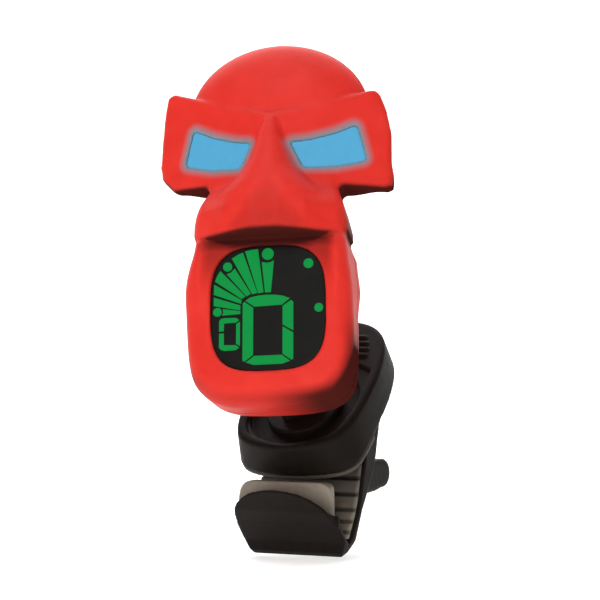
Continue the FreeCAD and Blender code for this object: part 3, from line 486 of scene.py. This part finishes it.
def sample(vol, ax, P):
    """Trilinear look-up in a field."""
    step = ax[0][1] - ax[0][0]
    q = (P - np.array([a[0] for a in ax])) / step
    hi = np.array(vol.shape) - 1.001
    q = np.clip(q, 0, hi)
    i = q.astype(int); f = q - i
    out = 0.0
    for a in (0, 1):
        for b in (0, 1):
            for c in (0, 1):
                wgt = (f[:, 0] if a else 1 - f[:, 0]) * (f[:, 1] if b else 1 - f[:, 1]) * (f[:, 2] if c else 1 - f[:, 2])
                out = out + wgt * vol[i[:, 0] + a, i[:, 1] + b, i[:, 2] + c]
    return out


# direction of the painted light in the head frame, from above and in front, used only for the painted shade
PAINTED_LIGHT_DIR = np.array([-0.10, 0.80, 0.59]); PAINTED_LIGHT_DIR /= np.linalg.norm(PAINTED_LIGHT_DIR)


def shade_attr(P):
    """Painted shade: darker in hollows, on undersides, on faces turned away from the painted light direction and in
    soft shadows cast along it.
    """
    e = 0.4
    g = np.stack([sample(outer, ax, P + e * d) - sample(outer, ax, P - e * d) for d in np.eye(3)], 1)
    g /= np.linalg.norm(g, axis=1)[:, None] + 1e-9
    lit = np.ones(len(P))
    for t in (0.9, 1.5, 2.3, 3.3, 4.6, 6.2, 8.2):
        f = sample(outer, ax, P + g * 0.35 + PAINTED_LIGHT_DIR * t)
        lit = np.minimum(lit, 0.5 + 0.5 * np.clip(f * 2.6 / t, -1, 1))
    face = smooth(g @ PAINTED_LIGHT_DIR, -0.35, 0.50)
    # less painted shade on the left of the chin, where it turns under softly
    keep = 0.62 * smooth(P[:, 1], -11.5, -15.5) * smooth(P[:, 0], 10.0, -3.0)
    # more painted shade low on the right side, less painted shade on the right side above that
    side = smooth(g[:, 0], 0.45, 0.9) * 0.35 * smooth(P[:, 1], 2.0, -8.0)
    keep = np.maximum(keep, 0.72 * smooth(g[:, 0], 0.25, 0.6) * smooth(P[:, 1], -12.0, -1.0) * smooth(P[:, 1], 14.0, 11.0))
    # no painted shade on faces turned to the back
    return np.clip((1 - np.clip(lit * 1.0, 0, 1) * face) * (1 - keep) + side, 0, 1) * (0.08 + 0.92 * smooth(g[:, 2], -0.85, -0.35))


# Painted eye glow: a grey-blue ring painted on the shell around the eyes. Also carries the painted shade, including the
# mouth hollow.
def painted_glow_and_shade_attr(P):
    d = np.minimum(poly_field(P[:, 0], P[:, 1], EYE_C_R), poly_field(P[:, 0], P[:, 1], EYE_C_L))
    a = smooth(d, 2.0, -0.2) * (P[:, 2] > brow_w(P[:, 0]) - 2.2)
    # painted shade in the hollow of the mouth, under the upper jaw bone, fading down beside the display window
    x, v = np.abs(P[:, 0]), P[:, 1]
    hollow = 0.85 * smooth(v, 9.5, 12.6) * smooth(v, 14.6, 13.9) * smooth(x, 14.4, 11.0)
    hollow = np.maximum(hollow, 0.55 * smooth(v, 2.0, 11.5) * smooth(v, 14.6, 13.6) * smooth(x, 13.4, 11.0)) * (P[:, 2] < 5.6)
    return {"painted_eye_glow": a, "shade": np.maximum(SHADE_GAIN * shade_attr(P), 0.95 * hollow)}


SHADE_GAIN = 1.0


EYE_C_R = curve_pts(EYE_R, 1)
EYE_C_L = curve_pts(EYE_L, 1)


def round_poly(pts, r, k=4):
    """Polygon with corners rounded, as points."""
    p = np.asarray(pts, float); n = len(p); out = []
    for i in range(n):
        a, b, c = p[i - 1], p[i], p[(i + 1) % n]
        u, w_ = (a - b) / np.linalg.norm(a - b), (c - b) / np.linalg.norm(c - b)
        rr = min(r, 0.45 * np.linalg.norm(a - b), 0.45 * np.linalg.norm(c - b))
        q0, q1 = b + u * rr, b + w_ * rr
        for j in range(k + 1):
            t = j / k
            out.append(tuple((1 - t) ** 2 * q0 + 2 * t * (1 - t) * b + t * t * q1))
    return out


EYE_C_R = round_poly(EYE_R, 0.9)
EYE_C_L = round_poly(EYE_L, 0.9)

ax, h, v, w, hb, vb, outer = head_fields()
eye_d = np.minimum(poly_field(hb[:, :, 0], vb[:, :, 0], EYE_C_R), poly_field(hb[:, :, 0], vb[:, :, 0], EYE_C_L))[:, :, None]
win_d = (((np.abs(hb) / WIN_A) ** WIN_N + (np.abs(vb) / WIN_B) ** WIN_N) ** (1 / WIN_N) - 1) * WIN_A
shell = np.maximum(outer, -(outer + 1.7))
hole = np.maximum(win_d, -6.0 - w)
front = r_and(shell, -hole, 0.35)
front = np.maximum(front, -np.maximum(eye_d, -9.5 - w))
btn_v, btn_w = 12.2, -4.6
btn = np.maximum(np.maximum(np.abs(v - btn_v) - 3.6, np.abs(w - btn_w) - 2.1), np.maximum(h + 11.0, -20.0 - h))
front = r_and(front, -btn, 0.15)
front = r_and(front, -8.97 - w, 0.12)
field_obj("head_front_shell", front, ax, HEAD, M_RED, "head", ("front_shell",), painted_glow_and_shade_attr)
del front
rear = r_and(shell, w + 9.03, 0.12)
rear = np.maximum(rear, -np.maximum(np.hypot(h, v - 36.4) - 12.0, np.maximum(w + 12.9, -20 - w)))
floor = np.maximum(np.hypot(h, v - 36.4) - 12.6, np.maximum(w + 11.7, -12.9 - w))
rear = np.minimum(rear, floor)
boss = np.maximum(np.hypot(h, v - V0) - 4.6, np.maximum(w + 11.9, -14.2 - w))
rear = np.minimum(rear, boss)
rear = r_and(rear, -np.maximum(np.hypot(h, v - V0) - 3.8, np.maximum(w + 9.5, -20 - w)), 0.25)
for sx, sy in ((-12.9, -8.5), (12.9, -8.5), (-9.6, 21.2), (9.6, 21.2)):
    post = np.maximum(np.hypot(h - sx, v - sy) - 1.7, np.maximum(w + 9.05, -14.3 - w))
    rear = np.minimum(rear, np.maximum(post, outer))
    rear = r_and(rear, -np.maximum(np.hypot(h - sx, v - sy) - 1.45, w + 12.4), 0.15)
field_obj("head_rear_shell", rear, ax, HEAD, M_RED, "head", ("rear_shell",), lambda P: {"painted_eye_glow": np.zeros(len(P)), "shade": SHADE_GAIN * shade_attr(P)})
del rear, shell
for nm, poly, sgn in (("eye_lens_left", EYE_C_L, -1), ("eye_lens_right", EYE_C_R, 1)):
    ed = poly_field(hb[:, :, 0], vb[:, :, 0], poly)[:, :, None]
    lens = np.maximum(np.maximum(ed + 0.05, outer + 0.22), -(outer + 1.5))
    lens = np.maximum(lens, -8.85 - w)
    field_obj(nm + "_lit", lens, ax, HEAD, M_EYE, "head", (nm,))

# ------------------------------------------------------------------ display
def superellipse(a, b, n, k=96):
    out = []
    for i in range(k):
        t = 2 * math.pi * i / k
        c, s = math.cos(t), math.sin(t)
        out.append((a * math.copysign(abs(c) ** (2 / n), c), b * math.copysign(abs(s) ** (2 / n), s)))
    return out


def slab(name, rings, fr, mat, body, node=(), sharp=35):
    """Stack of closed loops (all the same count), capped at both ends. rings: list of (points, z)."""
    k = len(rings[0][0])
    V = []
    for pts, z in rings:
        V += [(p[0], p[1], z) for p in pts]
    Fc = []
    for r in range(len(rings) - 1):
        for i in range(k):
            j = (i + 1) % k
            Fc.append((r * k + i, r * k + j, (r + 1) * k + j, (r + 1) * k + i))
    Fc.append(tuple(reversed(range(k))))
    Fc.append(tuple(range((len(rings) - 1) * k, len(rings) * k)))
    return mesh_obj(name, to_row(V, fr), Fc, mat, body, node, sharp=sharp)


SE = lambda d: superellipse(WIN_A - d, WIN_B - d, WIN_N)
slab("display_glass", [(SE(0.05), -0.95), (SE(0.05), 0.00), (SE(0.2), 0.12), (SE(0.45), 0.15)], HEAD, M_LCD, "head", ("display_window",))

# image positions on the display, millimetres from its centre
PXC = (267.85, 308.2)


def disp(px, py):
    return ((px - PXC[0]) / 5.12, -(py - PXC[1]) / 5.02)


def arc_pts(cx, cy, r, k=28):
    return [(cx + r * math.cos(2 * math.pi * i / k), cy + r * math.sin(2 * math.pi * i / k)) for i in range(k)]


SEG = []
A = lambda pts: SEG.append([disp(*p) for p in pts])
A([(243.0, 302.6), (244.6, 301.2), (253.4, 307.4), (253.4, 353.0), (245.0, 359.2), (243.0, 358.2)])
A([(245.6, 300.4), (250.0, 297.4), (258.0, 295.8), (266.0, 295.3), (274.0, 295.6), (282.0, 296.8), (289.6, 299.6), (281.6, 305.6), (254.6, 306.4)])
A([(282.4, 307.0), (290.6, 301.4), (292.9, 303.2), (292.9, 331.0), (282.4, 324.8)])
A([(282.4, 326.6), (292.9, 333.0), (292.9, 358.2), (291.2, 359.2), (282.4, 353.0)])
A([(254.6, 354.0), (281.6, 354.0), (289.8, 360.0), (282.0, 362.6), (254.0, 362.6), (246.2, 360.0)])
A([(219.7, 319.0), (221.5, 316.8), (225.0, 316.2), (236.5, 316.4), (239.7, 318.6), (236.4, 321.0), (224.6, 321.4), (224.4, 329.0), (219.7, 329.0)])
A([(219.7, 331.0), (224.4, 331.0), (224.6, 342.4), (236.4, 342.8), (239.7, 345.2), (236.5, 347.6), (225.0, 348.0), (221.5, 346.8), (219.7, 344.6)])
A([(236.6, 322.4), (240.4, 320.2), (240.4, 343.8), (236.6, 341.6)])
for cx, cy, r in ((267.7, 255.6, 5.8), (227.8, 266.4, 4.5), (217.9, 310.2, 4.3), (307.8, 266.6, 4.8), (317.9, 309.9, 4.3)):
    SEG.append([(disp(cx, cy)[0] + p[0], disp(cx, cy)[1] + p[1]) for p in arc_pts(0, 0, r / 5.07)])
for q in ([(261.7, 263), (266.5, 264.2), (270.5, 263.6), (273.7, 262), (270.8, 293), (265, 293)],
          [(245, 252), (251.5, 250.8), (257.9, 250.4), (263.6, 292.7), (258.2, 293.6)],
          [(231.9, 258.4), (237.5, 255.2), (243, 253), (257.4, 293), (252.4, 294.3)],
          [(226.8, 273.5), (231.0, 272.0), (235, 268.3), (251, 293.6), (246.7, 296)],
          [(215.3, 280.2), (217.6, 274.6), (220.6, 270), (245.7, 296), (242, 298.4)],
          [(214.2, 293), (214.5, 283), (241.8, 299.4), (241.3, 303)],
          [(214.2, 304), (214.2, 295.6), (240.7, 304.6), (240.7, 309.4)],
          [(222.5, 313.7), (223.8, 310.6), (223, 307.3), (240.7, 310), (240.7, 312.8)]):
    A(q)


def seg_mesh():
    V, Fc = [], []
    for s in SEG:
        a = sum(s[i - 1][0] * s[i][1] - s[i][0] * s[i - 1][1] for i in range(len(s)))
        if a < 0:
            s = s[::-1]
        b = len(V); k = len(s)
        V += [(x, y, 0.14) for x, y in s] + [(x, y, 0.19) for x, y in s]
        Fc += [(b + i, b + (i + 1) % k, b + k + (i + 1) % k, b + k + i) for i in range(k)]
        Fc += [tuple(range(b + k, b + 2 * k)), tuple(reversed(range(b, b + k)))]
    return V, Fc


V, Fc = seg_mesh()
mesh_obj("display_segments", to_row(V, HEAD), Fc, M_GREEN, "head", (), flat=True)

# ------------------------------------------------------------------ upper jaw of the clip
CS = 0.30
RIM = [(0.0, 0.0), (0.3, 2.8), (0.95, 5.9), (2.2, 8.9), (4.2, 11.0), (7.8, 12.5), (12.2, 13.15), (17.5, 13.3), (22.3, 13.1), (27.2, 12.3),
       (30.9, 11.1), (34.0, 9.2), (36.2, 6.4), (37.3, 3.0), (37.5, 0.0)]
LOW = [(0.0, 0.0), (0.25, 4.6), (0.9, 8.4), (2.1, 11.3), (4.2, 13.0), (7.8, 13.5), (12.2, 13.5), (17.5, 13.4), (22.3, 13.1), (27.2, 12.3),
       (30.9, 11.1), (34.0, 9.2), (36.2, 6.4), (37.3, 3.0), (37.5, 0.0)]
RIMP = [(x, l) for l, x in RIM] + [(-x, l) for l, x in reversed(RIM[1:-1])]
LOWP = [(x, l) for l, x in LOW] + [(-x, l) for l, x in reversed(LOW[1:-1])]
ax2, x2, l2, n2 = grid((-15.2, -1.6, -12.6), (15.2, 39.0, 1.8), CS)
xb, lb = np.broadcast_to(x2, (len(ax2[0]), len(ax2[1]), 1)), np.broadcast_to(l2, (len(ax2[0]), len(ax2[1]), 1))
rim0 = poly_field(xb[:, :, 0], lb[:, :, 0], curve_pts(RIMP, 4))[:, :, None]
rim1 = poly_field(xb[:, :, 0], lb[:, :, 0], curve_pts(LOWP, 4))[:, :, None]
rim = rim0 + (rim1 - rim0) * np.clip(-n2 / 7.6, 0, 1)
uj = r_and(rim, n2, 0.8)
uj = r_and(uj, -7.6 - n2, 0.35)
# dished recess with a step, and its rear edge under the thumb ridges
rec = np.hypot(x2, l2 - 13.0) - 11.3
uj = r_and(uj, -np.maximum(rec, -2.2 - n2), 0.35)
arc = np.hypot(x2, l2 - 3.0) - 22.6
uj = r_and(uj, -np.maximum(np.maximum(rim + 2.0, arc), -0.7 - n2), 0.25)
for i, wd in enumerate((9.0, 8.6, 7.9, 6.9)):
    ll = 26.8 + 1.75 * i
    rid = np.hypot(np.hypot(l2 - ll, n2 + 0.15), np.maximum(np.abs(x2) - wd + 0.75, 0)) - 0.75
    uj = r_or(uj, rid, 0.25)
hollow = np.maximum(np.maximum(rim + 1.7, 6.6 - l2), n2 + 3.7)
uj = np.maximum(uj, -hollow)
uj = np.maximum(uj, -(np.hypot(x2, l2 - 13.0) - 3.1))
for sx in (-1, 1):
    lug = np.minimum(np.hypot(l2 - 17.0, n2 + 8.5) - 3.0, np.maximum(np.abs(l2 - 17.0) - 3.0, np.maximum(-8.5 - n2, n2 + 3.4)))
    lug = r_and(lug, np.abs(x2 - sx * 5.8) - 1.1, 0.2)
    uj = np.minimum(uj, lug)
uj = np.maximum(uj, -(np.hypot(l2 - 17.0, n2 + 8.5) - 1.25))
field_obj("clip_upper_jaw", uj, ax2, JAW, M_BLACK, "upper_clip", ("upper_jaw",))
pad = r_and(r_and(rim1 + 0.15, np.abs(n2 + 8.15) - 0.49, 0.2), l2 - 12.6, 0.3)
field_obj("clip_upper_pad", pad, ax2, JAW, M_PADU, "upper_clip", ("upper_jaw_pad",))

# ------------------------------------------------------------------ lower jaw
LJ = [(HY + 2.9, HZ - 1.2), (HY + 2.1, HZ - 3.6), (17.0, 5.4), (15.9, 2.0), (13.4, -2.0), (10.85, -5.6), (8.1, -11.1), (6.4, -13.7), (4.6, -14.5), (3.4, -13.6),
      (3.0, -11.7), (-0.6, -7.7), (-3.1, -5.3), (-5.2, -2.6), (-6.5, -1.0), (-5.7, -0.8), (-3.5, -3.4), (-2.0, -5.1), (-1.0, -6.05), (0.1, -6.15), (0.1, -1.6), (1.2, -1.6),
      (1.2, -7.6), (3.9, -10.8), (5.1, -11.6), (6.0, -10.8), (8.0, -7.6), (9.6, -4.2), (10.8, 0.2), (11.8, 3.6), (HY - 2.9, HZ - 2.4), (HY - 2.9, HZ)]
TAIL = [(13.0, -2.9), (18.8, -2.5)] + [(22.0 + 2.9 * math.cos(math.radians(t)), 0.9 + 2.9 * math.sin(math.radians(t))) for t in range(-100, 101, 20)] + [(18.5, 3.7), (15.4, 3.9)]
ARCH = [(0.0, -1.0), (2.2, -1.15), (5.3, -1.75), (7.4, -2.75), (9.1, -4.0), (10.0, -5.1), (10.7, -6.5), (11.2, -8.4)]
ax3, x3, y3, z3 = grid((-12.0, -7.2, -15.2), (12.0, 25.6, 15.0), CS)
yb, zb = np.broadcast_to(y3, (1, len(ax3[1]), len(ax3[2]))), np.broadcast_to(z3, (1, len(ax3[1]), len(ax3[2])))
prof = poly_field(yb[0], zb[0], LJ)[None]
tail = poly_field(yb[0], zb[0], TAIL)[None]
half = np.interp(-z3, [11.4, 12.6, 13.8, 15.0], [11.2, 10.7, 10.1, 9.6])
lj = r_and(prof, np.abs(x3) - half, 0.4)
ring = np.hypot(y3 - HY, z3 - HZ) - 2.9
lj = np.maximum(lj, -np.maximum(np.maximum(np.abs(x3) - 7.1, HZ - 4.6 - z3), 11.0 - y3))
for sx in (-1, 1):
    e = r_and(ring, np.abs(x3 - sx * 9.15) - 2.05, 0.3)
    lj = np.minimum(lj, e)
lj = r_or(lj, r_and(tail, np.abs(x3) - 10.5, 0.9), 0.6)
xa, za = np.broadcast_to(x3[:, :, 0], (len(ax3[0]), len(ax3[2]))), np.broadcast_to(z3[0], (len(ax3[0]), len(ax3[2])))
lip = [(-12.6, -17.0), (-12.6, -8.4)] + [(-x, z) for x, z in ARCH[:0:-1]] + ARCH + [(12.6, -8.4), (12.6, -17.0)]
arch = poly_field(xa, za, curve_pts(lip, 1))[:, None, :]
lj = r_and(lj, -np.maximum(-arch, y3 + 0.05), 0.35)
web = np.maximum(np.maximum(8.6 - np.abs(x3), np.abs(y3 - 0.6) - 0.66), np.maximum(z3 + 1.0, -6.15 - z3))
lj = np.maximum(lj, -web)
web = np.maximum(np.maximum(8.6 - np.abs(x3), np.abs(y3 - 1.675) - 0.825), np.maximum(z3 + 1.0, -8.5 - z3))
lj = np.maximum(lj, -web)
lj = np.maximum(lj, -(ring + 1.68))
field_obj("clip_lower_jaw", lj, ax3, ROW, M_BLACK, "lower_clip", ("lower_jaw",))
# rubber boot on the tip
TIP = [(10.75, -5.9), (10.4, -3.9), (10.2, -2.4), (9.95, -1.4), (9.4, -0.5), (8.6, 0.05), (7.8, 0.3)]
ax4, x4, y4, z4 = grid((-11.6, -1.8, -9.2), (11.6, 3.4, 1.2), CS * 0.8)
xa, za = np.broadcast_to(x4[:, :, 0], (len(ax4[0]), len(ax4[2]))), np.broadcast_to(z4[0], (len(ax4[0]), len(ax4[2])))
ee = poly_field(xa, za, curve_pts(TIP + [(-x, z) for x, z in TIP[::-1]], 1))[:, None, :]
tip = r_and(ee, np.abs(y4 - 0.75) - 1.55, 0.35)
ear = np.maximum(np.abs(np.abs(x4) - 9.67) - 0.92, np.maximum(np.abs(y4 - 1.61) - 0.69, np.abs(z4 + 6.7) - 1.72))
tip = np.minimum(tip, ear)
tip = r_and(tip, (np.abs(x4) - 10.8 + 0.57 * (y4 + 0.5)) * 0.87, 0.3)
tip = np.maximum(tip, -np.maximum(np.maximum(np.abs(y4 - 0.65) - 0.6, z4 + 1.54), np.abs(x4) - 8.7))
field_obj("clip_tip_pad", tip, ax4, ROW, M_PADG, "lower_clip", ("lower_jaw_pad",), lambda P: {"tone": smooth(P[:, 2], -1.0, -5.5)})
# ribbed lining of the spine
SPN = [(5.9, -10.85), (6.3, -10.2), (8.0, -7.5), (9.6, -4.1), (10.75, 0.2), (11.6, 3.6), (12.0, 5.6)]
sy = np.array([p[0] for p in SPN]); sz = np.array([p[1] for p in SPN])
ax5, x5, y5, z5 = grid((-11.8, 3.0, -11.8), (11.8, 13.0, 6.6), CS * 0.8)
back = (y5 - (np.interp(z5, sz, sy) - 0.10)) * 0.93
GROOVES = (-9.6, -7.6, -5.4, -2.5, 0.6, 3.4)
near = np.min([np.abs(z5 - g) for g in GROOVES], axis=0)
groove = smooth(near, 0.34, 0.14)
swell = 0.10 * smooth(near, 0.2, 1.4)
frt = ((np.interp(z5 - 0.3, sz, sy) - 1.42 - swell + 0.65 * groove) - y5) * 0.90
lin = r_and(np.maximum(back, frt), np.abs(x5) - 10.8, 0.3)
lin = np.maximum(lin, np.maximum(z5 - 5.75, -10.85 - z5))


def liner_attr(P):
    # painted shade in the rib grooves, and darker towards the top
    g = smooth(np.min([np.abs(P[:, 2] - q) for q in GROOVES], axis=0), 0.62, 0.20)
    return {"tone": np.clip(0.85 * smooth(P[:, 2], -8.5, 5.0) + 0.55 * g, 0, 1)}


field_obj("clip_spine_pad", lin, ax5, ROW, M_PADD, "lower_clip", ("spine_pad",), liner_attr)

# ------------------------------------------------------------------ studio
fl = bpy.data.meshes.new("floor")
zf = CAD_BOX[0][2] - 0.0006
prof_y = [(-1.2, 0.0), (0.55, 0.0)] + [(0.55 + 0.35 * math.sin(a), 0.35 - 0.35 * math.cos(a)) for a in np.linspace(0.1, math.pi / 2, 14)] + [(0.90, 1.6)]
ca, sa = math.cos(math.radians(28)), math.sin(math.radians(28))
V = []
for d, zz in prof_y:
    for s in (-2.0, 2.0):
        # d runs away from the camera
        V.append((s * ca - d * sa, s * sa + d * ca, zf + zz))
Fc = [(2 * i, 2 * i + 1, 2 * i + 3, 2 * i + 2) for i in range(len(prof_y) - 1)]
fl.from_pydata(V, [], Fc); fl.update(); fl.shade_smooth()
fo = bpy.data.objects.new("floor", fl); bpy.context.scene.collection.objects.link(fo)
mf, nt, b, n, l = new_mat("floor_pale")
b.inputs["Base Color"].default_value = (0.93, 0.93, 0.915, 1); b.inputs["Roughness"].default_value = 0.9; b.inputs["Specular IOR Level"].default_value = 0.1
b.inputs["Emission Color"].default_value = (1.0, 0.995, 0.98, 1); b.inputs["Emission Strength"].default_value = 0.55
fl.materials.append(mf)

AZ, DIST, PXMM = 28.0, 500.0, 5.15
a = math.radians(AZ)
cr = np.array([math.cos(a), math.sin(a), 0]); cc = np.array([math.sin(a), -math.cos(a), 0])
aim = (2.62 * cr + np.array([0, 0, 35.5])) * MM
cam_d = bpy.data.cameras.new("camera"); cam = bpy.data.objects.new("camera", cam_d)
bpy.context.scene.collection.objects.link(cam)
loc = aim + cc * DIST * MM
cam.matrix_world = Matrix.Translation(Vector(loc)) @ Matrix(((cr[0], 0, cc[0]), (cr[1], 0, cc[1]), (cr[2], 1, cc[2]))).to_4x4()
cam_d.sensor_width = 36.0
cam_d.lens = PXMM * DIST / 600.0 * 36.0
cam_d.clip_start = 0.01
bpy.context.scene.camera = cam


def area(name, pos, size, power, col=(1, 1, 1), target=(0, -0.005, 0.035)):
    ld = bpy.data.lights.new(name, "AREA"); ld.energy = power; ld.size = size; ld.color = col
    o = bpy.data.objects.new(name, ld); bpy.context.scene.collection.objects.link(o)
    o.location = pos
    o.rotation_euler = (Vector(target) - Vector(pos)).to_track_quat("-Z", "Y").to_euler()
    return o


def from_cam(right, up, toward):
    return tuple((right * cr + up * Z + toward * cc))


area("key", from_cam(-0.12, 0.55, 0.38), 0.30, 1.5)
area("front", from_cam(-0.10, 0.12, 0.80), 0.30, 1.25)
area("back", from_cam(0.0, 0.75, -0.45), 1.0, 7.0, target=(0, 0.35, 0.05))
wd = bpy.data.worlds.new("world"); bpy.context.scene.world = wd
wd.use_nodes = True
wd.node_tree.nodes["Background"].inputs[0].default_value = (1, 1, 1, 1)
wd.node_tree.nodes["Background"].inputs[1].default_value = 0.10
bpy.context.scene.view_settings.view_transform = "Standard"
